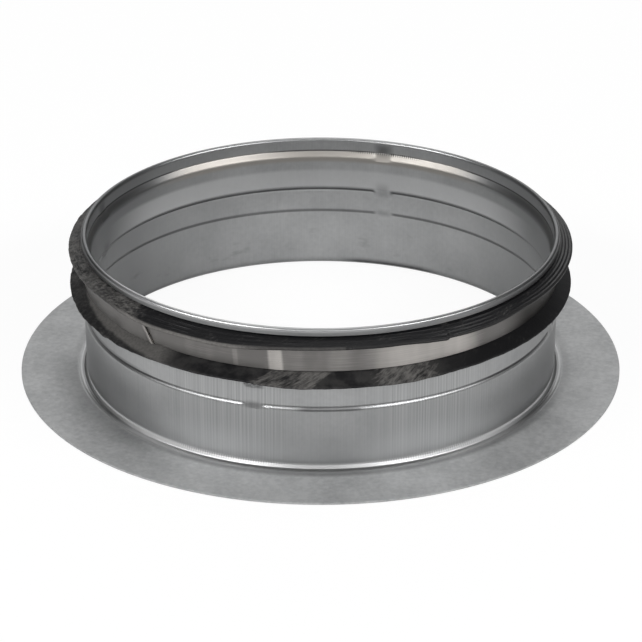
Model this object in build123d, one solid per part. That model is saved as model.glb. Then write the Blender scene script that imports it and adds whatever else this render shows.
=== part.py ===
from build123d import *
import os
from math import atan2, degrees, radians, tan

# Flanged duct inlet pipe: a collar pressed from one sheet, and a double-lip gasket under a lapped strap.
# Millimetres. +Z runs up the air passage, and the origin is the centre of the flange's underside.
# An azimuth is counted from -Y, the front, and is positive towards +X.

# Sheet-steel collar, from the flange up to the hem
sheet = 0.7
flange_diameter = 203.2
spigot_diameter = 159.0
foot_bend = 2.2
overall_height = 49.5

# Two inward steps, and the seat between the upper one and the ledge
lower_step_depth = 0.7
upper_step_depth = 1.5
step_run = 1.2
step_bend = 1.0
step_spacing = 9.0
step_to_gasket = 1.8

# Slanted ledge, rim strip and outward hem
ledge_rise = 2.0
ledge_bend = 1.5
crease_bend = 0.3
rim_strip_height = 4.6
rim_proud = 0.3
hem_gap = 0.5
hem_height = 2.4

# Places where the steps and the ledge fade out, between the segments of the forming tool
fade_count = 4
fade_width = 7.0
first_fade_azimuth = -16.2
fade_taper_overrun = 1.2

# Double-lip gasket
gasket_base = 1.5
gasket_foot = 1.0
lip_proud = 4.6
lip_fall = 2.2
lip_root = 1.5
lip_tip = 0.8
lip_root_fillet = 0.5
heel_headroom = 0.3
lip_clearance = 0.1
gasket_clearance = 0.1

# Clamp band
band_thickness = 0.5
band_width = 7.8
band_to_ledge = 0.2
lap_azimuth = -41.5
lap_length = 13.0
lap_ramp_length = 8.0
lap_end_slant = 35.0

# Radii of the sheet's outer face, from the flange up
spigot_radius = spigot_diameter / 2
middle_radius = spigot_radius - lower_step_depth
seat_radius = middle_radius - upper_step_depth
rim_radius = spigot_radius + rim_proud
hem_inner_radius = rim_radius - sheet
strip_radius = hem_inner_radius - hem_gap
gasket_inside = seat_radius + gasket_clearance
gasket_radius = gasket_inside + gasket_base
band_inside = gasket_radius + gasket_clearance
band_radius = band_inside + band_thickness
lip_radius = spigot_radius + lip_proud

# Heights, from the rim down
hem_edge = overall_height - hem_height
fold_radius = sheet + hem_gap / 2
fold_height = overall_height - fold_radius
crease_height = overall_height - rim_strip_height
ledge_height = crease_height - ledge_rise
band_top = ledge_height - band_to_ledge
band_bottom = band_top - band_width
upper_lip_height = hem_edge - lip_clearance
lower_lip_height = band_bottom - lip_clearance
gasket_bottom = lower_lip_height - lip_root - gasket_foot
upper_step_height = gasket_bottom - step_to_gasket
lower_step_height = upper_step_height - step_spacing


def right_of(start, end):
    """Unit vector to the right of the way from one point to another."""
    along = (end - start).normalized()
    return Vector(along.Y, -along.X)


def bent_sheet_faces(corners, inside_bends, thickness):
    """Corners and bend radii of a bent sheet's two faces. The sheet lies right of the given corners."""
    points = [Vector(*corner) for corner in corners]
    normals = [right_of(start, end) for start, end in zip(points, points[1:])]
    far_points = [points[0] + normals[0] * thickness]
    near_radii = []
    far_radii = []
    for point, before, after, bend in zip(points[1:], normals, normals[1:], inside_bends):
        far_points.append(point + (before + after) * (thickness / (1 + before.dot(after))))
        turns_right = before.X * after.Y - before.Y * after.X < 0
        near_radii.append(bend + thickness if turns_right else bend)
        far_radii.append(bend if turns_right else bend + thickness)
    far_points.append(points[-1] + normals[-1] * thickness)
    return (points, near_radii), (far_points, far_radii)


def step_bend_for(depth):
    """Bend radius of a step, kept small enough for two bends to fit on its slanted run."""
    slant = (depth**2 + step_run**2) ** 0.5
    room = slant / tan(atan2(depth, step_run) / 2)
    return min(step_bend, 0.45 * (room - sheet))


def sheet_section(corners, inside_bends):
    """Section of the collar: the bent sheet up to the fold, then the fold and the hem's outer leg."""
    near, far = bent_sheet_faces(corners, inside_bends, sheet)
    fold_centre = strip_radius + hem_gap / 2
    sides = []
    for (points, radii), radius in ((near, fold_radius), (far, hem_gap / 2)):
        inner_end = (fold_centre - radius, fold_height)
        crown = (fold_centre, fold_height + radius)
        outer_end = (fold_centre + radius, fold_height)
        sides += FilletPolyline(*points, radius=radii).edges()
        sides.append(ThreePointArc(inner_end, crown, outer_end))
        sides.append(Line(outer_end, (fold_centre + radius, hem_edge)))
    sides.append(Line(near[0][0], far[0][0]))
    sides.append(Line((rim_radius, hem_edge), (hem_inner_radius, hem_edge)))
    return Plane.XZ * make_face(Wire(sides))


# Inner face of the sheet, from the flange's edge up to the fold, with its steps and ledge
wall_inside = spigot_radius - sheet
middle_inside = middle_radius - sheet
seat_inside = seat_radius - sheet
strip_inside = strip_radius - sheet
half_run = step_run / 2
stepped_corners = [
    (flange_diameter / 2, 0),
    (wall_inside, 0),
    (wall_inside, lower_step_height - half_run),
    (middle_inside, lower_step_height + half_run),
    (middle_inside, upper_step_height - half_run),
    (seat_inside, upper_step_height + half_run),
    (seat_inside, ledge_height),
    (strip_inside, crease_height),
    (strip_inside, fold_height),
]
lower_bend = step_bend_for(lower_step_depth)
upper_bend = step_bend_for(upper_step_depth)
stepped_bends = [foot_bend, lower_bend, lower_bend, upper_bend, upper_bend, ledge_bend, crease_bend]

# The same face where the steps and the ledge fade into straight tapers
faded_corners = [
    (flange_diameter / 2, 0),
    (wall_inside, 0),
    (wall_inside, lower_step_height - half_run - fade_taper_overrun),
    (seat_inside, upper_step_height + half_run),
    (seat_inside, ledge_height),
    (strip_inside, crease_height + fade_taper_overrun),
    (strip_inside, fold_height),
]
faded_bends = [foot_bend, step_bend, step_bend, step_bend, step_bend]


def make_collar():
    """Pressed collar: sectors with steps, and between them narrow sectors where the steps fade."""
    pitch = 360 / fade_count
    fade_angle = degrees(fade_width / spigot_radius)
    stepped_face = sheet_section(stepped_corners, stepped_bends)
    faded_face = sheet_section(faded_corners, faded_bends)
    stepped_sector = revolve(stepped_face, Axis.Z, pitch - fade_angle)
    faded_sector = revolve(faded_face, Axis.Z, fade_angle)
    sectors = []
    for index in range(fade_count):
        fade_start = first_fade_azimuth - 90 + index * pitch - fade_angle / 2
        sectors.append(Rot(0, 0, fade_start) * faded_sector)
        sectors.append(Rot(0, 0, fade_start + fade_angle) * stepped_sector)
    return sectors[0].fuse(*sectors[1:]).clean()


def lip_corners(root_radius, height):
    """Top of a lip's root, the two edges of its blunt tip and the underside of its root."""
    root = Vector(root_radius, height)
    tip_top = Vector(lip_radius, height - lip_fall)
    tip_bottom = tip_top + right_of(root, tip_top) * lip_tip
    return [root, tip_top, tip_bottom, Vector(gasket_radius, height - lip_root)]


def make_gasket():
    """Rubber ring: base in the seat, heel up in the hem, and two lips that hang outwards."""
    far_points, far_radii = bent_sheet_faces(stepped_corners, stepped_bends, sheet + gasket_clearance)[1]
    heel_top = fold_height - heel_headroom
    heel_inside = strip_radius + gasket_clearance
    heel_radius = hem_inner_radius - gasket_clearance
    tip_fillet = 0.4 * lip_tip
    inner = FilletPolyline(
        (gasket_inside, gasket_bottom),
        far_points[6],
        far_points[7],
        (heel_inside, heel_top),
        radius=far_radii[5:],
    )
    outer = FilletPolyline(
        (heel_inside, heel_top),
        (heel_radius, heel_top),
        *lip_corners(heel_radius, upper_lip_height),
        *lip_corners(gasket_radius, lower_lip_height),
        (gasket_radius, gasket_bottom),
        (gasket_inside, gasket_bottom),
        radius=[0] + 2 * [0, tip_fillet, tip_fillet, lip_root_fillet] + [0],
    )
    section = Plane.XZ * make_face(Wire(inner.edges() + outer.edges()))
    return revolve(section, Axis.Z)


def on_ring(radius, angle):
    """Point on a ring round the axis, at an angle in degrees from +X."""
    return Vector(radius, 0).rotate(Axis.Z, angle)


def ramp(radius, rise, start, end):
    """Arc that climbs off a ring by a rise, from one angle to another."""
    middle = on_ring(radius + rise / 2, (start + end) / 2)
    return ThreePointArc(on_ring(radius, start), middle, on_ring(radius + rise, end))


def ring_arc(radius, start, end):
    """Arc of a ring round the axis, from one angle to another."""
    return CenterArc((0, 0), radius, start, end - start)


def make_band():
    """Strap closed on itself: its outer end climbs over the hidden inner end and is spot-welded to it."""
    lap_radius = band_radius + band_thickness
    outer_end = lap_azimuth - 90
    inner_end = outer_end - degrees(lap_length / band_radius)
    ramp_start = inner_end - degrees(lap_ramp_length / band_radius)
    outside = [
        ring_arc(lap_radius, inner_end, outer_end),
        Line(on_ring(lap_radius, outer_end), on_ring(band_radius, outer_end)),
        ring_arc(band_radius, outer_end, ramp_start + 360),
        ramp(band_radius, band_thickness, ramp_start, inner_end),
    ]
    inside = [
        ring_arc(band_inside, inner_end, ramp_start + 360),
        ramp(band_inside, band_thickness, ramp_start, inner_end),
        Line(on_ring(band_radius, inner_end), on_ring(band_inside, inner_end)),
    ]
    profile = make_face(Wire(outside)) - make_face(Wire(inside))
    strap = Pos(0, 0, band_bottom) * extrude(profile, band_width)
    return strap - end_trim(outer_end, lap_radius)


def end_trim(outer_end, lap_radius):
    """What the slanted cut takes off the strap's outer end, down to the layer beneath."""
    cut_reach = band_width * tan(radians(lap_end_slant))
    corner = Polyline((0, 0), (0, band_width), (-cut_reach, band_width), (0, 0))
    outward = on_ring(1, outer_end)
    facing = Plane(outward * band_radius, x_dir=outward.rotate(Axis.Z, 90), z_dir=outward)
    lap_height = lap_radius - band_radius
    wedge = extrude(facing * make_face(corner), 2 * lap_height, both=True)
    shell = Cylinder(lap_radius + lap_height, overall_height, align=(Align.CENTER, Align.CENTER, Align.MIN))
    shell -= Cylinder(band_radius, overall_height, align=(Align.CENTER, Align.CENTER, Align.MIN))
    return Pos(0, 0, band_bottom) * wedge & shell


os.makedirs("parts", exist_ok=True)
pieces = {"flanged_collar": make_collar(), "lip_gasket": make_gasket(), "clamp_band": make_band()}
for name, piece in pieces.items():
    export_step(piece, f"parts/{name}.step")
    print(name, f"{piece.volume:.1f} mm3", len(piece.solids()), "solid")
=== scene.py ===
# %% [markdown]
# # A flanged duct inlet pipe
# This lesson dresses a imported CAD model of a short duct pipe. The pipe has three pieces: a collar pressed
# from galvanised sheet, a rubber gasket with two lips, and a thin steel strap that holds the gasket on. The
# CAD model is loaded first and never moved. The collar's box is kept, and its width is printed beside the
# dressed collar's.

import math

import bpy
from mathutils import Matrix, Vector


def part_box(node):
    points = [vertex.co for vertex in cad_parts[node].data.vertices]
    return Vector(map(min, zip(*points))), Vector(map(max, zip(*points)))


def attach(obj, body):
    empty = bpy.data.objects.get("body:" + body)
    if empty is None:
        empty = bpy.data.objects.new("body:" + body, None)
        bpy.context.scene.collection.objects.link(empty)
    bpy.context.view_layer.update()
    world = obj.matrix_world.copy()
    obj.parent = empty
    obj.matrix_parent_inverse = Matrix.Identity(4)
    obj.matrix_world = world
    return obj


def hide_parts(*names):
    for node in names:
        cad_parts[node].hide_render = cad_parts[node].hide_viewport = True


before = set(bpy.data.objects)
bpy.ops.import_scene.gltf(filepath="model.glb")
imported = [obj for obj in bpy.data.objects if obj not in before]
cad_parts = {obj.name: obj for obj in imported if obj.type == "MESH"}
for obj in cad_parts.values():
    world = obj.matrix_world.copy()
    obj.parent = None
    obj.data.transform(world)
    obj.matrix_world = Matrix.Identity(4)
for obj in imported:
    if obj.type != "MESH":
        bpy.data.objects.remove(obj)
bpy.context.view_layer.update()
print("CAD nodes:", sorted(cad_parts))

# %% [markdown]
# ## Writing node trees as expressions
# Both the shapes and the finishes are node trees. Nodes could be wired one by one, but a formula then takes
# a page. Here a small class wraps a socket, so that `1 - mask` writes its own Math node. Any other node
# comes from one method, which takes the node's type, its settings, and the values or links of its sockets.

# %% A socket with arithmetic, and a tree that adds nodes
def pick(sockets, key):
    """The socket with this index, identifier or name."""
    if isinstance(key, int):
        return sockets[key]
    for socket in sockets:
        if socket.identifier == key:
            return socket
    return next(socket for socket in sockets if socket.name == key and socket.enabled)


class Wire:
    """One output socket. Arithmetic on it adds Math nodes to its tree."""

    def __init__(self, graph, socket):
        self.graph, self.socket = graph, socket

    def also(self, key):
        """Another output of the same node."""
        return Wire(self.graph, pick(self.socket.node.outputs, key))

    def __add__(self, other):
        return self.graph.maths("ADD", self, other)

    def __sub__(self, other):
        return self.graph.maths("SUBTRACT", self, other)

    def __rsub__(self, other):
        return self.graph.maths("SUBTRACT", other, self)

    def __mul__(self, other):
        return self.graph.maths("MULTIPLY", self, other)

    def __truediv__(self, other):
        return self.graph.maths("DIVIDE", self, other)

    def __rtruediv__(self, other):
        return self.graph.maths("DIVIDE", other, self)

    __radd__, __rmul__ = __add__, __mul__


class Graph:
    """A node tree that is written as expressions."""

    def __init__(self, tree):
        self.tree = tree
        tree.nodes.clear()

    def node(self, kind, settings=None, inputs=None, output=0):
        node = self.tree.nodes.new(kind)
        for name, value in (settings or {}).items():
            setattr(node, name, value)
        for key, value in (inputs or {}).items():
            socket = pick(node.inputs, key)
            if isinstance(value, Wire):
                self.tree.links.new(value.socket, socket)
            else:
                socket.default_value = value
        return Wire(self, pick(node.outputs, output)) if len(node.outputs) else node

    def maths(self, operation, *values):
        return self.node("ShaderNodeMath", {"operation": operation}, dict(enumerate(values)))

    def ease(self, value, start, end, low=0.0, high=1.0, shape="SMOOTHSTEP"):
        """A value that goes from low to high while the given one goes from start to end."""
        inputs = {"Value": value, "From Min": start, "From Max": end, "To Min": low, "To Max": high}
        return self.node("ShaderNodeMapRange", {"interpolation_type": shape}, inputs)

    def hill(self, value, centre, flat, foot):
        """1 within flat of the centre, and 0 beyond foot from it."""
        return 1 - self.ease(self.maths("ABSOLUTE", value - centre), flat, foot)

    def near(self, angle, centre, flat, foot):
        """The same for an angle, with the other three in degrees."""
        return self.hill(angle, *(math.radians(degrees) for degrees in (centre, flat, foot)))

    def most(self, first, *others):
        """The largest of some values."""
        for other in others:
            first = self.maths("MAXIMUM", first, other)
        return first

    def noise(self, vector, scale=1.0, detail=2.0, roughness=0.5):
        inputs = {"Vector": vector, "Scale": scale, "Detail": detail, "Roughness": roughness}
        return self.node("ShaderNodeTexNoise", None, inputs)

    def vector(self, x, y, z):
        return self.node("ShaderNodeCombineXYZ", None, {"X": x, "Y": y, "Z": z})


print("Node helpers ready")

# %% [markdown]
# ## Sizes
# The sizes repeat the CAD model's, in millimetres, so that each dressed piece lies on its solid, apart from
# the small worn and soft forms that its own step adds. Radii are counted from the pipe's axis and heights
# from the underside of the flange. An azimuth is counted from the front, -Y, and is positive towards +X.

# %% Sizes of the pipe
MM = 0.001
sheet = 0.7
flange_radius = 101.6
wall_inside, middle_inside, seat_inside, strip_inside = 78.8, 78.1, 76.6, 77.9
wall_outside = wall_inside + sheet
lower_step, upper_step, half_run = 21.5, 30.5, 0.6
ledge_height, crease_height, rim_height = 42.9, 44.9, 49.5
rim_radius, hem_edge, hem_gap = 79.8, 47.1, 0.5
fade_count, first_fade, fade_width = 4, math.radians(-16.2), 7.0
strap_thickness, strap_width, strap_bottom = 0.5, 7.8, 34.9
collar_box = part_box("flanged_collar")
print("Collar is", round(2 * flange_radius, 2), "mm wide; its solid is", round(2000 * collar_box[1][0], 2))

# %% [markdown]
# ## Sections
# All three pieces are sections carried round an axis. A section starts as a ring of corners with a radius
# each. The corners could be rounded by a Bevel modifier afterwards, but working the arcs out here puts
# points only where the sheet bends, and a pair of points beside each bend keeps the long straight runs flat
# in the shading.

# %% Round a ring of corners
HOLD = 0.25
LONGEST_RUN = 6.0


def unit(start, end):
    reach = math.dist(start, end)
    return (end[0] - start[0]) / reach, (end[1] - start[1]) / reach


def arc_round(before, corner, after, radius, steps):
    """Points of the arc that rounds one corner."""
    back, onward = unit(corner, before), unit(corner, after)
    opening = math.acos(max(-1.0, min(1.0, back[0] * onward[0] + back[1] * onward[1])))
    reach = radius / math.tan(opening / 2)
    start = [corner[k] + reach * back[k] for k in (0, 1)]
    end = [corner[k] + reach * onward[k] for k in (0, 1)]
    middle = unit((0, 0), (back[0] + onward[0], back[1] + onward[1]))
    centre = [corner[k] + radius / math.sin(opening / 2) * middle[k] for k in (0, 1)]
    first = math.atan2(start[1] - centre[1], start[0] - centre[0])
    last = math.atan2(end[1] - centre[1], end[0] - centre[0])
    sweep = (last - first + math.pi) % (2 * math.pi) - math.pi
    angles = [first + sweep * step / steps for step in range(steps + 1)]
    return [(centre[0] + radius * math.cos(angle), centre[1] + radius * math.sin(angle)) for angle in angles]


def rounded_ring(corners):
    """Points of a closed section, with the mark of the corner that each belongs to.

    A corner is a radius from the axis, a height, the radius of its arc, the arc's steps and a mark."""
    arcs = []
    for index, (r, z, bend, steps, _) in enumerate(corners):
        before, after = corners[index - 1], corners[(index + 1) % len(corners)]
        arcs.append(arc_round(before[:2], (r, z), after[:2], bend, steps) if steps else [(r, z)])
    ring = []
    for index, arc in enumerate(arcs):
        mark = corners[index][4]
        ring += [(*point, mark) for point in arc]
        start, end = arc[-1], arcs[(index + 1) % len(arcs)][0]
        run = math.dist(start, end)
        next_mark = corners[(index + 1) % len(corners)][4]
        run_mark = mark if mark is not None else next_mark
        if run > 4 * HOLD:
            spans = math.ceil((run - 2 * HOLD) / LONGEST_RUN)
            stops = [HOLD + (run - 2 * HOLD) * k / spans for k in range(spans + 1)]
            along = unit(start, end)
            ring += [(start[0] + along[0] * stop, start[1] + along[1] * stop, run_mark) for stop in stops]
    return ring


def section_object(name, ring, **marks):
    """The section as a line of points in the XZ plane, with its marks as attributes."""
    mesh = bpy.data.meshes.new(name)
    points = [(r * MM, 0.0, z * MM) for r, z, *_ in ring]
    mesh.from_pydata(points, [(k, (k + 1) % len(points)) for k in range(len(points))], [])
    for label, values in marks.items():
        mesh.attributes.new(label, "FLOAT", "POINT").data.foreach_set("value", values)
    section = bpy.data.objects.new(name, mesh)
    bpy.context.scene.collection.objects.link(section)
    print(name, "has", len(points), "points")
    return section


# %% [markdown]
# ## Carrying a section round the axis
# A Screw modifier could turn a section round, but every slice would be alike. A Geometry Nodes tree can
# change the section as it goes: it lays a grid with one row per point of the section and one column per
# slice, looks up the section's point for each row, and lets a rule move it before the grid is bent round
# the axis. The rule is what differs between the collar, the gasket and the strap, so the shared part is a
# helper and each piece adds its own rule.

# %% The shared part of the three trees
WELD = 1e-6
SHARP_ANGLE = math.radians(42)
SOCKET_KINDS = {int: "NodeSocketInt", float: "NodeSocketFloat"}


class RingTree(Graph):
    """A tree that carries its object's section round the axis."""

    def __init__(self, name, sizes):
        super().__init__(bpy.data.node_groups.new(name, "GeometryNodeTree"))
        face = self.tree.interface
        face.new_socket("Geometry", in_out="INPUT", socket_type="NodeSocketGeometry")
        self.items = {}
        for label, value in sizes.items():
            kind = SOCKET_KINDS[type(value)]
            self.items[label] = face.new_socket(label, in_out="INPUT", socket_type=kind)
        self.items["Finish"] = face.new_socket("Finish", in_out="INPUT", socket_type="NodeSocketMaterial")
        face.new_socket("Geometry", in_out="OUTPUT", socket_type="NodeSocketGeometry")
        self.sizes = sizes
        self.entry = self.node("NodeGroupInput")
        self.section = self.entry.also("Geometry")

    def size(self, label):
        return self.entry.also(label)

    def lay_grid(self, rows):
        """A row for each point of the section, the first one twice, and a column for each slice."""
        columns = self.size("Slices") + 1
        inputs = {"Vertices X": rows + 1, "Vertices Y": columns}
        self.grid = self.node("GeometryNodeMeshGrid", None, inputs)
        index = self.node("GeometryNodeInputIndex")
        whole = self.maths("FLOOR", (index + 0.5) / columns)
        self.row = self.maths("MODULO", whole, rows)
        self.column = index - whole * columns
        spot = self.node("ShaderNodeSeparateXYZ", None, {0: self.look_up("FLOAT_VECTOR")})
        self.radius, self.height = spot.also("X"), spot.also("Z")

    def look_up(self, kind, label=None):
        """The section's position, or a mark of it, at this row."""
        value = self.node("GeometryNodeInputPosition")
        if label:
            value = self.node("GeometryNodeInputNamedAttribute", {"data_type": kind}, {"Name": label})
        inputs = {"Geometry": self.section, "Value": value, "Index": self.row}
        return self.node("GeometryNodeSampleIndex", {"data_type": kind, "domain": "POINT"}, inputs)

    def close(self, radius, azimuth, height, keep=None):
        """Bends the grid round the axis, welds its seams, and sets the shading and the finish."""
        x = radius * self.maths("SINE", azimuth)
        y = radius * self.maths("COSINE", azimuth) * -1.0
        inputs = {"Geometry": self.grid, "Position": self.vector(x, y, height)}
        shape = self.node("GeometryNodeSetPosition", None, inputs)
        for label, value in (keep or {}).items():
            inputs = {"Geometry": shape, "Name": label, "Value": value}
            shape = self.node("GeometryNodeStoreNamedAttribute", {"data_type": "FLOAT"}, inputs)
        shape = self.node("GeometryNodeMergeByDistance", None, {"Geometry": shape, "Distance": WELD})
        sharp = self.node("GeometryNodeInputMeshEdgeAngle") - SHARP_ANGLE
        sharp = self.node("FunctionNodeCompare", {"data_type": "FLOAT"}, {"A": sharp, "B": 0.0})
        inputs = {"Geometry": shape, "Selection": sharp, "Shade Smooth": False}
        shape = self.node("GeometryNodeSetShadeSmooth", {"domain": "EDGE"}, inputs)
        shape = self.node("GeometryNodeRealizeInstances", None, {"Geometry": shape})
        inputs = {"Geometry": shape, "Material": self.size("Finish")}
        shape = self.node("GeometryNodeSetMaterial", None, inputs)
        self.node("NodeGroupOutput", None, {"Geometry": shape})

    def make(self, section, name, finish):
        """Runs the tree on a section and gives back the result as a plain mesh object."""
        modifier = section.modifiers.new("Carry round", "NODES")
        modifier.node_group = self.tree
        for label, value in self.sizes.items():
            modifier[self.items[label].identifier] = value
        modifier[self.items["Finish"].identifier] = finish
        evaluated = section.evaluated_get(bpy.context.evaluated_depsgraph_get())
        mesh = bpy.data.meshes.new_from_object(evaluated)
        section.modifiers.remove(modifier)
        bpy.data.objects.remove(section)
        mesh.name = name
        piece = bpy.data.objects.new(name, mesh)
        bpy.context.scene.collection.objects.link(piece)
        mesh.calc_loop_triangles()
        volume = sum(t.area * t.normal.dot(mesh.vertices[t.vertices[0]].co) for t in mesh.loop_triangles) / 3
        print(name, "has", len(mesh.loop_triangles), "triangles and holds", round(volume * 1e9), "cubic mm")
        return piece


# %% [markdown]
# ## Places on the pipe
# Wear, dirt and painted light and shade lie at certain heights and on certain sides of the pipe. Painted
# masks would need an unwrapped mesh, so each mask is worked out from a point's own place instead: its height,
# its distance from the axis and its azimuth. The masks take millimetres and degrees, and their edges are
# soft.

# %% A material's tree with masks by place
class PipeFinish(Graph):
    """The tree of a material that knows where each point lies on the pipe."""

    def __init__(self, name):
        self.material = bpy.data.materials.new(name)
        self.material.use_nodes = True
        super().__init__(self.material.node_tree)
        self.spot = self.node("ShaderNodeTexCoord", None, None, "Object")
        parts = self.node("ShaderNodeSeparateXYZ", None, {0: self.spot})
        x, y, self.height = parts.also("X"), parts.also("Y"), parts.also("Z")
        self.reach = self.maths("SQRT", x * x + y * y)
        self.azimuth = self.maths("ARCTAN2", x, y * -1.0)
        self.east, self.north = self.maths("SINE", self.azimuth), self.maths("COSINE", self.azimuth)

    def above(self, start, end):
        """0 below the start height, and 1 above the end height."""
        return self.ease(self.height, start * MM, end * MM)

    def below(self, start, end):
        """1 below the start height, and 0 above the end height."""
        return 1 - self.above(start, end)

    def level(self, centre, flat, foot):
        """1 round a height, and 0 further up or down."""
        return self.hill(self.height, centre * MM, flat * MM, foot * MM)

    def beyond(self, start, end):
        """0 nearer to the axis than the start radius, and 1 past the end radius."""
        return self.ease(self.reach, start * MM, end * MM)

    def ring(self, centre, flat, foot):
        """1 round a radius, and 0 further in or out."""
        return self.hill(self.reach, centre * MM, flat * MM, foot * MM)

    def side(self, centre, flat, foot):
        """1 round an azimuth, and 0 further off."""
        return self.near(self.azimuth, centre, flat, foot)

    def mark(self, label):
        """A value that the piece's tree stored on its points."""
        return self.node("ShaderNodeAttribute", {"attribute_name": label}, None, "Fac")

    def round_noise(self, spread, climb, detail):
        """A noise without a seam, read on a circle. Spread and climb set its pace round and up the pipe."""
        place = self.vector(self.east * spread, self.north * spread, self.height * climb)
        return self.noise(place, detail=detail)

    def tint(self, factor, dark, light):
        """A colour between two others."""
        ends = [end if isinstance(end, Wire) else (*end, 1.0) for end in (dark, light)]
        inputs = {"Factor_Float": factor, "A_Color": ends[0], "B_Color": ends[1]}
        return self.node("ShaderNodeMix", {"data_type": "RGBA"}, inputs, "Result_Color")

    def surface(self, relief, strength, inputs):
        """Ends the tree in one shader with a bump, and gives back the material."""
        bump = self.node("ShaderNodeBump", None, {"Strength": strength, "Distance": 1.0, "Height": relief})
        shader = self.node("ShaderNodeBsdfPrincipled", None, {**inputs, "Normal": bump})
        self.node("ShaderNodeOutputMaterial", None, {"Surface": shader})
        print("Finish:", self.material.name)
        return self.material


# %% [markdown]
# ## Galvanised sheet
# The collar is hot-dip galvanised steel: a dull zinc grey with a faint mottle on the flat flange, and fine
# streaks and close cord marks up the wall where the sheet was drawn over a tool. A picture texture would
# stretch round the pipe, so the streaks are a noise read on a circle: each point's direction from the axis
# is one pair of coordinates, and its height is squeezed.

# %% Grain of the zinc
ZINC_DARK, ZINC_LIGHT = (0.44, 0.447, 0.452), (0.60, 0.606, 0.608)
CORD_MARKS, TOOL_TICKS = 500.0, 600.0


def zinc_tree():
    """The zinc's tree, with the masks that more than one step reads. The angle off the back is in radians."""
    zinc = PipeFinish("galvanised_sheet")
    zinc.wall = 1 - zinc.beyond(wall_outside + 1.3, wall_outside + 4.0)
    zinc.outside = zinc.wall * zinc.mark("outside")
    zinc.inside = zinc.wall - zinc.outside
    zinc.off_back = math.pi - zinc.maths("ABSOLUTE", zinc.azimuth)
    zinc.rubbed = zinc.side(-22, 8, 18) + zinc.side(27, 8, 18)
    zinc.foot_sides = 1 - zinc.side(0, 40, 60)
    zinc.tick = 0.5 + 0.5 * zinc.maths("SINE", zinc.azimuth * TOOL_TICKS)
    return zinc


def zinc_grain(zinc):
    """Colour, roughness and relief of the bare zinc: streaks on the wall and a mottle on the flange."""
    drawn = zinc.outside * (0.3 + 0.7 * zinc.rubbed) + zinc.inside * 0.15
    fine = zinc.round_noise(135, 16, detail=1.0)
    broad = zinc.round_noise(26, 14, detail=2.0)
    mottle = zinc.noise(zinc.spot, scale=620)
    cloud = zinc.noise(zinc.spot, scale=60)
    cord = 0.5 + 0.5 * zinc.maths("SINE", zinc.azimuth * CORD_MARKS + broad * 9.0)
    streak = fine * 0.65 + broad * 0.15 + cord * 0.2
    patches = (mottle - 0.5) * (1.1 - 0.6 * zinc.wall) + cloud - 0.5
    shade = 0.53 + drawn * (streak - 0.5) * 1.5 + (1 - drawn) * patches
    colour = zinc.tint(zinc.ease(shade, 0.2, 0.8, shape="LINEAR"), ZINC_DARK, ZINC_LIGHT)
    rough = zinc.wall * (0.26 + 0.12 * streak) + (1 - zinc.wall) * (0.50 + 0.10 * mottle)
    relief = drawn * fine * (0.05 * MM) + (1 - zinc.wall) * mottle * (0.02 * MM)
    return colour, rough, relief


# %% [markdown]
# ## Painted light and wear of the zinc
# Most of these tints are painted light and shade: painted shade on the sides, painted light in the seat and
# low on the front, a painted highlight along the foot's bend, painted shade on the hem, and a burnished
# stretch of the rim painted pale as its highlight. The warm tarnish on the ledge at the back is the zinc's
# own colour. Each could be a material of its own, but its border would be hard, so each is a mask that tints
# the colour in its turn.

# %% Tints of the zinc
# Painted shade of the sides, painted light, and the foot's painted highlight; then painted shade of the rim,
# the rim's burnish painted pale as a highlight, and the ledge's own tarnish.
SIDE_SHADE_GREY, PAINTED_LIGHT_ZINC, FOOT_HIGHLIGHT_WHITE = (0.30, 0.304, 0.307), (0.80, 0.806, 0.81), (0.95, 0.952, 0.955)
RIM_SIDE_SHADE, SHADED_HEM = (0.11, 0.112, 0.115), (0.22, 0.222, 0.225)
BURNISHED_HIGHLIT_RIM, WARM_TARNISH = (0.78, 0.785, 0.79), (0.46, 0.432, 0.396)


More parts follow.
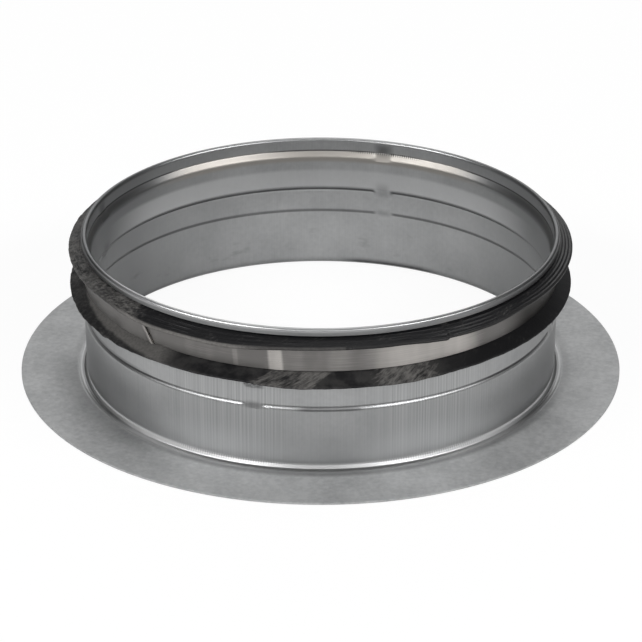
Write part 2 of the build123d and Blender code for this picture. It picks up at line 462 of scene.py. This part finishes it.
def zinc_light_and_wear(zinc, colour):
    """The colour with its painted light and shade, burnish and tarnish, and the masks of the foot's painted
    highlight and the warm tarnish.
    """
    wall, inside, outside = zinc.wall, zinc.inside, zinc.outside
    facing = zinc.maths("ABSOLUTE", zinc.north)
    sides = wall * (1 - zinc.ease(facing, 0.3, 0.92))
    inner_sides = inside * (1 - zinc.ease(facing, 0.4, 1.0))
    # Painted shade: the sides of the wall are tinted darker, inside more than outside and more at the inner
    # left back, and less low on the outside.
    film = zinc.most(sides * 0.6, inner_sides * 0.8) + inside * zinc.side(-131, 15, 38) * 0.3
    film = film * (1 - 0.7 * outside * zinc.below(3, 12))
    colour = zinc.tint(film, colour, SIDE_SHADE_GREY)

    # Painted light: the seat inside, towards the back, and the wall low on the front are tinted paler.
    seat = inside * zinc.above(upper_step + 0.7, upper_step + 1.3) * zinc.below(37.2, 38.8)
    seat = seat * (1 - zinc.ease(zinc.off_back, 0.8, 1.3))
    low_front = outside * zinc.below(4, 16) * zinc.side(0, 40, 85)
    colour = zinc.tint(seat * 0.55 + low_front * 0.42, colour, PAINTED_LIGHT_ZINC)
    # Painted highlight: a near-white line along the foot's bend, thinner at the sides.
    narrow = 1 - zinc.foot_sides * (1 - zinc.level(2.2, 0.2, 0.7))
    foot_highlight = outside * zinc.level(1.6, 0.6, 1.2) * zinc.side(0, 72, 95) * narrow
    colour = zinc.tint(foot_highlight * 0.8, colour, FOOT_HIGHLIGHT_WHITE)

    crest = wall * zinc.above(rim_height - 1.5, rim_height - 0.7)
    hem = zinc.beyond(strip_inside + 0.5, strip_inside + 1.1)
    hem = wall * hem * zinc.above(hem_edge - 0.5, hem_edge - 0.1)
    # Painted shade: the crest and hem are darkened at the sides, and the hem a little all round.
    colour = zinc.tint(sides * zinc.most(crest * 0.75, hem * 0.95), colour, RIM_SIDE_SHADE)
    colour = zinc.tint(hem * 0.35, colour, SHADED_HEM)
    # A burnished stretch of the crest at the front left, painted pale as the rim's highlight.
    colour = zinc.tint(crest * zinc.side(-20, 22, 48) * 0.8, colour, BURNISHED_HIGHLIT_RIM)
    warm = inside * zinc.level(ledge_height + 0.3, 1.2, 2.6) * (1 - zinc.ease(zinc.off_back, 0.6, 0.9))
    colour = zinc.tint(warm * 0.9, colour, WARM_TARNISH)
    return colour, foot_highlight, warm


# %% [markdown]
# ## Painted shade and dirt on the zinc
# Shade is painted into the steps, the crease above the ledge, the ledge's sides, under the lips, at the inner
# and outer foot and on the flange beside it, and as smudges where the steps fade. Real dirt lies in the
# tool's fine ticks and in scuffs low on the inner wall. All of it has one dark colour. So each place only
# says how dark it is, and where two meet the darker one wins.

# %% Painted shade and dirt of the zinc
GRIME_AND_SHADE = (0.05, 0.05, 0.052)


def step_overhang_shade(zinc, step, soft):
    """Painted shade: 1 on the overhang of a step inside the pipe, fading over its upper bend."""
    start = step - half_run
    return zinc.below(step, step + half_run + soft) * zinc.above(start - 0.35, start + 0.05)


def step_shade(zinc):
    """Painted shade along the steps, and painted dark smudges where they fade."""
    overhang_shade = step_overhang_shade(zinc, upper_step, 1.0) + 0.7 * step_overhang_shade(zinc, lower_step, 0.5)
    edge = lower_step + half_run
    # Painted shade: a dark line along the outer lower step, weaker at the front, and a broader one at the
    # left.
    seam = zinc.level(edge, 0.15, 0.5) * (0.85 - 0.5 * zinc.side(0, 32, 46))
    side_seam = zinc.level(edge, 0.4, 1.3) * zinc.side(-80, 25, 42)
    seam = zinc.outside * zinc.most(seam, side_seam * 0.5)
    # Painted shade: dark smudges where the steps fade, and a dark notch by the crease inside.
    fade_shade = zinc.level(upper_step, 0.8, 4.6) + zinc.level(lower_step, 0.0, 2.2)
    fade_shade = fade_shade * (zinc.inside * 0.30 + zinc.outside * 0.36)
    fade_shade = fade_shade + zinc.inside * zinc.level(crease_height + 0.9, 0.6, 3.4) * 0.46
    return (1 - zinc.mark("fade")) * (zinc.inside * overhang_shade * 0.85 + seam) + zinc.mark("dent") * fade_shade


def inner_shade_and_dirt(zinc):
    """Painted shade in the ledge's crease, on its sides and at the inner foot; dirt in scuffs low on the
    inner wall and in tool ticks at the back.
    """
    # Painted shade: the crease, the ledge's sides and the inner foot are darkened.
    crease = zinc.level(crease_height + 0.1, 0.1, 0.4) * (1 - zinc.near(zinc.off_back, 27, 11, 17))
    side_ledge = zinc.level(ledge_height + 0.1, 0.8, 2.2) * zinc.ease(zinc.off_back, 0.75, 1.15)
    foot = zinc.below(0.8, 3.4) * (0.3 + 0.65 * zinc.side(161, 8, 15))
    scuff = zinc.ease(zinc.round_noise(8, 260, detail=3.0), 0.58, 0.74) * zinc.below(10, 20)
    ticks = zinc.tick * zinc.side(163, 6, 12) * zinc.level(crease_height, 0.2, 0.7)
    return zinc.inside * zinc.most(crease * 0.75, side_ledge * 0.45, foot, scuff * 0.2, ticks * 0.85)


def outer_shade_and_ticks(zinc):
    """Painted shadow under the lips and painted shade dimming a stretch of the lower step; dirt in the foot's
    ticks.
    """
    # Painted shadow: the wall under the lips is darkened, most at the left.
    under_lip = zinc.above(26.2, 30.0) * (0.06 + 0.34 * zinc.side(-64, 14, 26))
    dim_line = zinc.level(lower_step, 0.5, 1.0) * zinc.side(2, 5, 10)
    ticks = zinc.tick * zinc.level(1.8, 0.4, 1.1) * (0.4 + 0.6 * zinc.rubbed)
    return zinc.outside * zinc.most(under_lip, dim_line * 0.6, ticks * 0.4)


def flange_shade(zinc):
    """Painted shade: dark lines round the foot, and a shaded patch of the flange at the left."""
    line = zinc.ring(wall_outside + 2.7, 1.2, 3.6) * (0.15 + 0.36 * zinc.side(8, 34, 70))
    side_line = zinc.ring(wall_outside + 1.1, 0.3, 0.7) * zinc.foot_sides
    left_shade = (1 - zinc.wall) * zinc.ring(wall_outside + 1.7, 1.2, 12.5) * zinc.side(-64, 16, 34)
    return zinc.most(line, side_line * 0.6, left_shade * 0.38)


def galvanised_sheet():
    zinc = zinc_tree()
    colour, rough, relief = zinc_grain(zinc)
    colour, foot_highlight, warm = zinc_light_and_wear(zinc, colour)
    # Painted shade of the steps, walls, foot and flange, with dirt in the scuffs and tool ticks.
    shade_and_dirt = zinc.most(step_shade(zinc), inner_shade_and_dirt(zinc), outer_shade_and_ticks(zinc), flange_shade(zinc))
    colour = zinc.tint(shade_and_dirt, colour, GRIME_AND_SHADE)
    # Where the foot's painted highlight lies at the sides, the zinc is less metallic, so its painted white
    # shows.
    metallic = 0.55 + 0.4 * zinc.wall - 0.45 * foot_highlight * (1 - zinc.side(0, 22, 46))
    inputs = {"Base Color": colour, "Metallic": metallic, "Roughness": rough + 0.12 * warm}
    return zinc.surface(relief, 0.5, inputs)


galvanised = galvanised_sheet()

# %% [markdown]
# ## The pressed collar
# One sheet makes the flange, the wall with its two steps, the slanted ledge, the rim and the hem. The bends
# were pressed by a tool in four segments, and where two segments meet the steps and the ledge fade out for a
# few millimetres. The corners below are the sheet's inner face; the outer face lies one thickness away, with
# softer bends at the lower step, and its foot has a short slant and a low bead. The tree's rule then smears
# the steps and the ledge out at each fade, and lays its slices closer together there. It stores how deep in a
# fade each point lies, so that the finish can lift the steps' painted shade there and paint dark smudges
# instead.

# %% Section of the collar
def sheet_offset(corners, thickness):
    """Corners of a bent sheet's other face, to the right of the given ones."""
    offsets = []
    for index, corner in enumerate(corners):
        ways = []
        if index > 0:
            ways.append(unit(corners[index - 1], corner))
        if index < len(corners) - 1:
            ways.append(unit(corner, corners[index + 1]))
        normals = [(way[1], -way[0]) for way in ways]
        first, last = normals[0], normals[-1]
        share = thickness / (1 + first[0] * last[0] + first[1] * last[1])
        share = share if len(ways) == 2 else thickness / 2
        offsets.append((corner[0] + (first[0] + last[0]) * share, corner[1] + (first[1] + last[1]) * share))
    return offsets


inner_face = [
    (flange_radius, 0.0),
    (wall_inside, 0.0),
    (wall_inside, lower_step - half_run),
    (middle_inside, lower_step + half_run),
    (middle_inside, upper_step - half_run),
    (seat_inside, upper_step + half_run),
    (seat_inside, ledge_height),
    (strip_inside, crease_height),
    (strip_inside, rim_height),
]
outer_face = sheet_offset(inner_face, sheet)
inner_bends = [2.3, 1.5, 0.9, 1.7, 0.6, 2.2, 0.3]
outer_bends = [0.9, 1.9, 2.3, 1.0, 1.3, 1.5, 1.0]
bend_steps = [9, 4, 4, 4, 4, 7, 3]
# Marks of the wall's two faces. The other corners have none.
INNER, OUTER = 0.0, 1.0
fold_bend = sheet + hem_gap / 2
inner_wall = [
    (*corner, bend, steps, INNER if index else None)
    for index, (corner, bend, steps) in enumerate(zip(inner_face[1:8], inner_bends, bend_steps))
]
outer_wall = [
    (*corner, bend, steps, OUTER if index else None)
    for index, (corner, bend, steps) in enumerate(zip(outer_face[1:8], outer_bends, bend_steps))
]
# How far below and above themselves the steps and the ledge smear out at a fade. The longest smear gets
# rows of its own on both faces.
lower_smear, upper_smear, ledge_smear = (1.8, 1.8), (3.6, 1.0), (0.8, 1.0)
smear_row = 0.6
smear_heights = [upper_step - upper_smear[0] + smear_row * k for k in range(4)]
for wall_corners in (inner_wall, outer_wall):
    radius, mark = wall_corners[2][0], wall_corners[2][4]
    wall_corners[3:3] = [(radius, height, 0.0, 0, mark) for height in smear_heights]
slant_reach, slant_rise = 0.7, 1.35
outer_wall[:1] = [
    (wall_outside + slant_reach, sheet, 0.7, 6, None),
    (wall_outside, sheet + slant_rise, 0.9, 5, None),
]
hem_inner = rim_radius - sheet
bead_radius, bead_half, bead_height, bead_bend = wall_outside + 2.6, 0.5, 0.08, 0.3
foot_bead = [
    (bead_radius - bead_half, sheet, bead_bend, 2, None),
    (bead_radius, sheet + bead_height, bead_bend, 2, None),
    (bead_radius + bead_half, sheet, bead_bend, 2, None),
]
cut_edge = (0.12, 2, None)
collar_corners = [
    (flange_radius, 0.0, *cut_edge),
    *inner_wall,
    (strip_inside, rim_height, fold_bend, 7, None),
    (rim_radius, rim_height, fold_bend, 7, None),
    (rim_radius, hem_edge, *cut_edge),
    (hem_inner, hem_edge, *cut_edge),
    (hem_inner, rim_height - sheet, hem_gap / 2, 4, None),
    (strip_inside + sheet, rim_height - sheet, hem_gap / 2, 4, None),
    *reversed(outer_wall),
    *foot_bead,
    (flange_radius, sheet, *cut_edge),
]
collar_ring = rounded_ring(collar_corners)


def side_of(r, z, mark):
    """1 on the outer face of the wall, on its foot and on top of the flange, and 0 elsewhere."""
    if mark is None:
        return float(r > wall_inside + sheet / 2 and sheet / 2 < z < lower_step)
    return mark


collar_section = section_object(
    "collar_section",
    collar_ring,
    side=[side_of(*point) for point in collar_ring],
    on_wall=[0.0 if mark is None else 1.0 for _, _, mark in collar_ring],
)

# %% Tree and mesh of the collar
FADE_CROWDING = 0.72


def collar_tree(rows):
    sizes = {
        "Slices": 540,
        "Fades": fade_count,
        "First fade": first_fade,
        "Fade reach": fade_width / 2 / wall_outside,
        "Fade softness": math.radians(0.9),
        "Fade drift": math.radians(0.7),
        "Sheet": sheet * MM,
        "Wall inside": wall_inside * MM,
        "Middle inside": middle_inside * MM,
        "Seat inside": seat_inside * MM,
        "Strip inside": strip_inside * MM,
    }
    tree = RingTree("collar", sizes)
    tree.lay_grid(rows)
    fades, first = tree.size("Fades"), tree.size("First fade")
    turn = tree.column / tree.size("Slices") * math.tau
    crowd = tree.maths("SINE", (turn - first) * fades)
    azimuth = turn - crowd * FADE_CROWDING / fades
    half_pitch = math.pi / fades
    drift = tree.size("Fade drift") * tree.maths("COSINE", azimuth)
    off = tree.maths("FLOORED_MODULO", azimuth - first - drift + half_pitch, 2.0 * half_pitch) - half_pitch
    reach, soft = tree.size("Fade reach"), tree.size("Fade softness")
    off = tree.maths("ABSOLUTE", off)
    fade = 1 - tree.ease(off, reach - soft, reach + soft * 0.6)
    dent = 1 - tree.ease(off, reach * 0.2, reach * 1.15)
    smeared = tree.size("Wall inside") + tree.look_up("FLOAT", "side") * tree.size("Sheet")
    for bottom, top, (down, up), before, after, shape in (
        (lower_step, lower_step, lower_smear, "Wall inside", "Middle inside", "SMOOTHSTEP"),
        (upper_step, upper_step, upper_smear, "Middle inside", "Seat inside", "SMOOTHSTEP"),
        (ledge_height, crease_height, ledge_smear, "Seat inside", "Strip inside", "LINEAR"),
    ):
        rise = tree.ease(tree.height, (bottom - down) * MM, (top + up) * MM, shape=shape)
        smeared = smeared + (tree.size(after) - tree.size(before)) * rise
    share = fade * tree.look_up("FLOAT", "on_wall")
    radius = tree.radius + share * (smeared - tree.radius)
    keep = {"outside": tree.look_up("FLOAT", "side"), "fade": fade, "dent": dent}
    tree.close(radius, azimuth, tree.height, keep)
    return tree


collar = collar_tree(len(collar_ring)).make(collar_section, "pressed_collar", galvanised)

# %% [markdown]
# ## Black rubber
# The gasket is soft black rubber. It picks up dust where it has been handled: in wisps at the front and round
# the left side, as a thin film on the lower lip, and caked at that lip's root left of the strap's end. The
# upper lip's tip is painted paler along its edge, a painted highlight laid in with the dust. Plain black
# would look like a hole in the picture, so noises lay grey dust over it and dull its gloss. Each point
# carries how far out on a lip it lies, so the dust and the painted highlight can follow the lips.

# %% Finish of the gasket
RUBBER_BLACK, DUST_AND_HIGHLIGHT_GREY = (0.007, 0.007, 0.008), (0.19, 0.183, 0.174)


def black_rubber():
    tree = PipeFinish("black_rubber")
    lip, low = tree.mark("lip"), tree.below(35.2, 37.2)
    fine = tree.noise(tree.spot, scale=1100, detail=3.0)
    cloud = tree.noise(tree.spot, scale=160, detail=4.0, roughness=0.6)
    place = tree.vector(tree.east * 60.0 + lip * 6.0, tree.north * 60.0, lip * 2.5 + low * 3.0)
    wisp = tree.noise(place, detail=5.0, roughness=0.65)

    handled = tree.near(tree.azimuth + lip * 0.08, -4, 6.2, 7.4) + tree.side(19, 5, 9)
    handled = tree.side(-74, 24, 38) * (0.17 - 0.03 * low) + low * handled * 0.2
    dust = tree.ease(cloud * 0.35 + wisp * 0.65 + handled, 0.54, 0.84) * (0.45 + 0.55 * fine)
    film = low * tree.side(-53, 77, 89) * tree.ease(cloud, 0.35, 0.6)
    dust = tree.most(dust, film * 0.14) * (1 - 0.65 * low * tree.side(84, 50, 60))

    cake = low * tree.side(-60, 20, 28)
    cake_edge = lip + cloud * 0.4 - (tree.azimuth + 1.05) * 1.3
    caked = cake * (1 - tree.ease(cake_edge, 0.58, 0.84)) * (0.35 + 0.6 * fine)
    # Painted highlight: a pale band along the upper lip's tip, strongest at the front left.
    tip_highlight = tree.ease(lip, 0.8, 0.94) * (1 - low) * (0.3 + 0.6 * tree.side(-33, 12, 22)) * (0.5 + fine)
    tip_highlight = tip_highlight * (0.2 * tree.side(0, 100, 150) + 0.8 * tree.side(-52, 57.1, 57.6))
    # From here the dust also carries the tip's painted highlight.
    dust = tree.most(dust * (1 - 0.6 * cake), caked, tip_highlight)

    colour = tree.tint(dust, RUBBER_BLACK, DUST_AND_HIGHLIGHT_GREY)
    rough = 0.36 + 0.2 * low + 0.3 * dust
    relief = fine * (0.05 * MM) + cloud * (0.08 * MM) + wisp * (0.12 * MM)
    inputs = {"Base Color": colour, "Roughness": rough, "Specular IOR Level": 0.3}
    return tree.surface(relief, 0.5, inputs)


rubber = black_rubber()

# %% [markdown]
# ## The lip gasket
# The rubber ring sits in the collar's seat, with its heel tucked up into the hem. Two lips stand out and
# hang a little; the upper one has fine ribs, worn down for much of the way round. Real rubber never lies
# quite round, so the tree's rule sways and folds the lips by noises that grow from nothing at their roots
# to most at their tips. It also lets the lips sag in a few places, and ends one sag of the upper lip in a
# nick.

# %% Section of the gasket
gasket_clearance, gasket_base = 0.1, 1.5
gasket_inside = seat_inside + sheet + gasket_clearance
gasket_radius = gasket_inside + gasket_base
gasket_bottom, heel_top = 32.3, 48.25
heel_inside, heel_radius = strip_inside + sheet + gasket_clearance, hem_inner - gasket_clearance
upper_lip, lower_lip, lip_fall, lip_reach = 47.0, 34.8, 2.2, 84.1
lip_root, lip_tip = 1.5, 0.8
RIBS, RIB_HEIGHT, RIBS_START, RIBS_SPAN = 4, 0.24, 0.14, 0.72
BASE, LIP, RIB = 0.0, 1.0, 2.0


def lip_corners(root_radius, height, ribs):
    """Corners of a lip from the top of its root round its tip to its underside."""
    root, tip = (root_radius, height), (lip_reach, height - lip_fall)
    along = unit(root, tip)
    down = (along[1], -along[0])
    corners = [(*root, 0.2, 2, LIP)]
    length = math.dist(root, tip)
    for index in range(2 * ribs):
        stop = length * (RIBS_START + RIBS_SPAN * index / (2 * ribs - 1))
        lift = RIB_HEIGHT * (index % 2)
        ridge = [root[k] + along[k] * stop - down[k] * lift for k in (0, 1)]
        corners.append((*ridge, 0.25, 3, RIB if lift else LIP))
    tip_bend = 0.4 * lip_tip
    corners.append((*tip, tip_bend, 4, LIP))
    corners.append((tip[0] + down[0] * lip_tip, tip[1] + down[1] * lip_tip, tip_bend, 4, LIP))
    corners.append((gasket_radius, height - lip_root, 0.5, 4, LIP))
    return corners


gasket_face = sheet_offset(inner_face, sheet + gasket_clearance)
gasket_corners = [
    (gasket_inside, gasket_bottom, 0.15, 2, BASE),
    (*gasket_face[6], 1.5, 4, BASE),
    (*gasket_face[7], 1.1, 3, BASE),
    (heel_inside, heel_top, 0.1, 2, BASE),
    (heel_radius, heel_top, 0.1, 2, BASE),
    *lip_corners(heel_radius, upper_lip, RIBS),
    *lip_corners(gasket_radius, lower_lip, 0),
    (gasket_radius, gasket_bottom, 0.3, 3, BASE),
]
gasket_ring = rounded_ring(gasket_corners)
lip_length = lip_reach - gasket_radius
gasket_section = section_object(
    "gasket_section",
    gasket_ring,
    lip=[max(0.0, (r - gasket_radius) / lip_length) * min(part, LIP) for r, _, part in gasket_ring],
    rib=[float(part == RIB) for _, _, part in gasket_ring],
)

# %% Tree and mesh of the gasket
def gasket_tree(rows):
    sizes = {
        "Slices": 900,
        "Sway": 0.3 * MM,
        "Wrinkle": 0.5 * MM,
        "Fray": 0.16 * MM,
        "Rib wear": 0.9 * RIB_HEIGHT * MM,
    }
    tree = RingTree("gasket", sizes)
    tree.lay_grid(rows)
    azimuth = tree.column / tree.size("Slices") * math.tau - math.pi
    east, north = tree.maths("SINE", azimuth), tree.maths("COSINE", azimuth)
    lip = tree.look_up("FLOAT", "lip")
    low = 1 - tree.ease(tree.height, 38 * MM, 42 * MM)
    sway = tree.noise(tree.vector(east * 3, north * 3, low * 7), detail=1.0) - 0.5
    fold = tree.noise(tree.vector(east * 17 + lip * 1.6, north * 17, tree.height * 160), detail=2.0) - 0.5
    fray = tree.noise(tree.vector(east * 30, north * 30, low * 5), detail=2.0) - 0.5
    rough = 0.25 + 0.3 * low + tree.near(azimuth, -78, 20, 36)
    nick = tree.near(azimuth, 22, 6.2, 6.8) * tree.ease(azimuth, math.radians(16), math.radians(25))
    droop = 1.6 * tree.near(azimuth, -32, 10, 28) + 0.9 * tree.near(azimuth, 36, 4, 16) + 0.6 * nick
    sag = 0.4 + 0.8 * tree.near(azimuth, 6, 12, 26) + 0.6 * tree.near(azimuth, -62, 8, 30)
    droop = (droop * (1 - low) + sag * low) * MM
    wear = tree.noise(tree.vector(east * 5, north * 5, tree.height * 6000), detail=0.0)
    kept = tree.ease(wear + 0.35 * tree.near(azimuth, 78, 40, 72), 0.42, 0.85)
    worn = tree.look_up("FLOAT", "rib") * (1 - kept) * tree.size("Rib wear")
    lift = lip * (sway * tree.size("Sway") * 2.0 + fold * tree.size("Wrinkle") * rough * 2.0 - droop) - worn
    spread = lip * lip * fray * tree.size("Fray") * rough * 2.0
    tree.close(tree.radius + spread, azimuth, tree.height + lift, {"lip": lip})
    return tree


gasket = gasket_tree(len(gasket_ring)).make(gasket_section, "lipped_gasket", rubber)

# %% [markdown]
# ## Rolled strap steel
# The strap is bright rolled steel, a little warmer than the zinc. Rolling leaves fine lines along its length,
# so its noise is squeezed the other way: fast up the strap's width and slow round the pipe. Two narrow places
# and the cut end are polished and painted pale as glints, a stretch at the right gets painted light, the
# stretch left of the lapped end is dull, and two places are painted dark from the lower edge up as a painted
# reflection of the black lower lip.

# %% Finish of the strap
STEEL_DARK, STEEL_LIGHT, LIP_REFLECTION_DARK = (0.24, 0.232, 0.225), (0.66, 0.63, 0.60), (0.035, 0.033, 0.03)
strap_middle = strap_bottom + strap_width / 2
POLISH_AND_GLINT_LEAN = 1.0


def rolled_strap():
    """Rolled steel. The polished places, painted pale as glints, lean by some radians for each metre of
    height.
    """
    steel = PipeFinish("bright_strap")
    line = steel.round_noise(6, 3600, detail=2.0)
    patch = steel.round_noise(9, 40, detail=2.0)
    speckle = steel.noise(steel.spot, scale=700, detail=3.0)
    burr = steel.mark("burr")
    leaning = steel.azimuth + (steel.height - strap_middle * MM) * POLISH_AND_GLINT_LEAN
    # Polish with a painted glint: two narrow leaning stretches and the cut end are painted pale, and polish
    # lowers their roughness.
    polish_and_glint = steel.near(leaning, -10.2, 1.2, 2.0) + 0.3 * steel.near(leaning, -19.6, 0.3, 0.9) + burr
    dull = steel.side(-92, 48, 51) * (0.4 + 1.2 * speckle)
    # Painted light: a stretch at the right is painted lighter.
    bright = steel.side(25, 8, 17)
    shade = line * 0.45 + patch * 0.9 + polish_and_glint * 0.7 + bright * 0.75 - dull * 0.3 - 0.48
    colour = steel.tint(steel.ease(shade, 0.2, 1.1, shape="LINEAR"), STEEL_DARK, STEEL_LIGHT)
    # Painted reflection: the black lower lip's reflection is painted dark from the strap's lower edge up, in
    # two places.
    lip_reflection = 0.3 * steel.side(-30, 11, 24) * steel.below(strap_bottom + 0.1, strap_bottom + 3.3)
    lip_reflection = lip_reflection + steel.side(78, 20, 34) * steel.below(strap_bottom + 3.6, strap_bottom + 10.6)
    colour = steel.tint(lip_reflection * (1 - burr), colour, LIP_REFLECTION_DARK)
    inputs = {"Base Color": colour, "Metallic": 1.0, "Roughness": 0.30 + 0.14 * line - 0.08 * polish_and_glint}
    return steel.surface(line * (0.03 * MM), 0.4, inputs)


strap_steel = rolled_strap()

# %% [markdown]
# ## The lapped strap
# The strap is one length of thin steel round the gasket, between the lips. Its outer end climbs over its
# inner end and stops in a slanted cut. A closed ring would hide that, so the rule runs the section once
# round and a little further, lifts it by its own thickness over the last stretch, flares the cut end a
# little as a burr, and pinches the first and last slices shut as end faces.

# %% Section, tree and mesh of the strap
BURR_RISE = 0.3
strap_inside = gasket_radius + gasket_clearance
lap_azimuth, lap_length, ramp_length, end_slant = math.radians(-41.5), 13.0, 8.0, math.radians(35.0)
strap_top = strap_bottom + strap_width
strap_ring = rounded_ring([
    (0.0, strap_bottom, *cut_edge),
    (0.0, strap_top, *cut_edge),
    (strap_thickness, strap_top, *cut_edge),
    (strap_thickness, strap_bottom, *cut_edge),
])
strap_section = section_object("strap_section", strap_ring)


def strap_tree(rows):
    over = strap_inside + strap_thickness
    sizes = {
        "Slices": 720,
        "Inside": strap_inside * MM,
        "Thickness": strap_thickness * MM,
        "Lap end": lap_azimuth,
        "Lap": lap_length / over,
        "Ramp": ramp_length / over,
        "Slant": math.tan(end_slant) / (over * MM),
    }
    tree = RingTree("strap", sizes)
    tree.lay_grid(rows)
    slices, thickness = tree.size("Slices"), tree.size("Thickness")
    along = tree.ease(tree.column, 1.0, slices - 1.0, shape="LINEAR")
    start = tree.size("Lap end") - tree.size("Lap")
    cut = (tree.height - strap_bottom * MM) * tree.size("Slant")
    azimuth = start + along * (math.tau + tree.size("Lap") - cut)
    climb = tree.ease(azimuth - start - math.tau, tree.size("Ramp") * -1.0, 0.0)
    middle = tree.maths("ABSOLUTE", tree.column - slices / 2.0)
    open_end = 1 - tree.ease(middle, slices / 2.0 - 0.9, slices / 2.0 - 0.1)
    depth = thickness / 2.0 + (tree.radius - thickness / 2.0) * open_end
    burr = tree.ease(along, 0.9955, 0.9985)
    radius = tree.size("Inside") + depth + (climb + BURR_RISE * burr) * thickness
    tree.close(radius, azimuth, tree.height, {"burr": burr})
    return tree


strap = strap_tree(len(strap_ring)).make(strap_section, "lapped_strap", strap_steel)

# %% [markdown]
# ## Tying the pieces to the model
# Nothing on this part moves, so the three pieces ride on its one body. Each stands for its CAD solid, which
# stays hidden for collision.

# %% Ride and replace
for piece, node, slot in (
    (collar, "flanged_collar", "galvanised_sheet"),
    (gasket, "lip_gasket", "black_rubber"),
    (strap, "clamp_band", "bright_strap"),
):
    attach(piece, "root")
    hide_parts(node)
    print(piece.name, "replaces", node)

# %% [markdown]
# ## A white table and soft lights
# Metal shows what is round it, so the table and the lights are half of the look. The table is a white floor
# that keeps a soft shadow. To the camera it is mostly plain white, while the metal mirrors it almost only
# as the lamps light it, which keeps the zinc from washing out. Two strong soft boxes stand in front, left
# and right, with a weaker one between them, and give the rim, ledge and foot their bright lines. Two weak
# ones above and behind light the far side, and a dim world leaves the horizon dark between them.

# %% Floor
FLOOR_REACH, FLOOR_GAP = 3.0, 0.2 * MM
floor_mesh = bpy.data.meshes.new("floor")
floor_signs = [(-1, -1), (1, -1), (1, 1), (-1, 1)]
floor_corners = [(x * FLOOR_REACH, y * FLOOR_REACH, -FLOOR_GAP) for x, y in floor_signs]
floor_mesh.from_pydata(floor_corners, [], [(0, 1, 2, 3)])
floor = bpy.data.objects.new("floor", floor_mesh)
bpy.context.scene.collection.objects.link(floor)
table_top = bpy.data.materials.new("white_table")
table_top.use_nodes = True
graph = Graph(table_top.node_tree)
lit = graph.node("ShaderNodeBsdfDiffuse", None, {"Color": (0.82, 0.82, 0.82, 1.0)})
plain = graph.node("ShaderNodeEmission", None, {"Color": (1.0, 1.0, 1.0, 1.0), "Strength": 1.06})
ray = graph.node("ShaderNodeLightPath", None, None, "Is Camera Ray")
mirrored = graph.most(ray.also("Is Glossy Ray"), ray.also("Is Transmission Ray"))
seen = graph.most(ray * 0.86, mirrored * 0.02)
mixed = graph.node("ShaderNodeMixShader", None, {0: seen, 1: lit, 2: plain})
graph.node("ShaderNodeOutputMaterial", None, {"Surface": mixed})
floor_mesh.materials.append(table_top)
print("Floor ready")

# %% World and lamps
world = bpy.data.worlds.new("studio")
bpy.context.scene.world = world
world.use_nodes = True
graph = Graph(world.node_tree)
sky = graph.node("ShaderNodeBackground", None, {"Color": (1.0, 1.0, 1.0, 1.0), "Strength": 0.12})
graph.node("ShaderNodeOutputWorld", None, {"Surface": sky})


def soft_box(name, azimuth, elevation, distance, width, height, brightness):
    """A flat lamp aimed at the pipe, placed by its azimuth and elevation in degrees."""
    turn, rise = math.radians(azimuth), math.radians(elevation)
    ground = math.cos(rise)
    place = Vector((math.sin(turn) * ground, -math.cos(turn) * ground, math.sin(rise))) * distance
    light = bpy.data.lights.new(name, "AREA")
    light.shape, light.size, light.size_y = "RECTANGLE", width, height
    light.energy = brightness * math.pi * width * height
    lamp = bpy.data.objects.new(name, light)
    lamp.location = place
    lamp.rotation_euler = (-place).to_track_quat("-Z", "Y").to_euler()
    bpy.context.scene.collection.objects.link(lamp)


soft_box("left_box", -53, 34, distance=2.2, width=1.73, height=0.38, brightness=9.8)
soft_box("right_box", 54, 34, distance=2.2, width=1.73, height=0.38, brightness=9.8)
soft_box("front_box", 0, 34, distance=2.2, width=2.2, height=0.3, brightness=2.7)
soft_box("top_box", 180, 72, distance=1.6, width=1.2, height=0.9, brightness=1.0)
soft_box("back_box", 180, 26, distance=1.7, width=1.5, height=0.7, brightness=1.2)
print("Lamps:", [lamp.name for lamp in bpy.data.lights])

# %% [markdown]
# ## Camera
# The picture was taken from the front, about 26 degrees up, through a long lens.

# %% Camera and picture settings
SENSOR, IMAGE_PIXELS, FOCAL_PIXELS = 36.0, 642, 2759.0
view_rise, view_distance = math.radians(25.63), 0.9362
target = Vector((0.00015, 0.0, 0.0142))
camera_data = bpy.data.cameras.new("camera")
camera_data.sensor_width = SENSOR
camera_data.lens = FOCAL_PIXELS * SENSOR / IMAGE_PIXELS
camera = bpy.data.objects.new("camera", camera_data)
camera.location = target + Vector((0.0, -math.cos(view_rise), math.sin(view_rise))) * view_distance
camera.rotation_euler = (target - camera.location).to_track_quat("-Z", "Y").to_euler()
bpy.context.scene.collection.objects.link(camera)
bpy.context.scene.camera = camera
bpy.context.scene.view_settings.view_transform = "Standard"
print("Lens in mm:", round(camera_data.lens, 1))
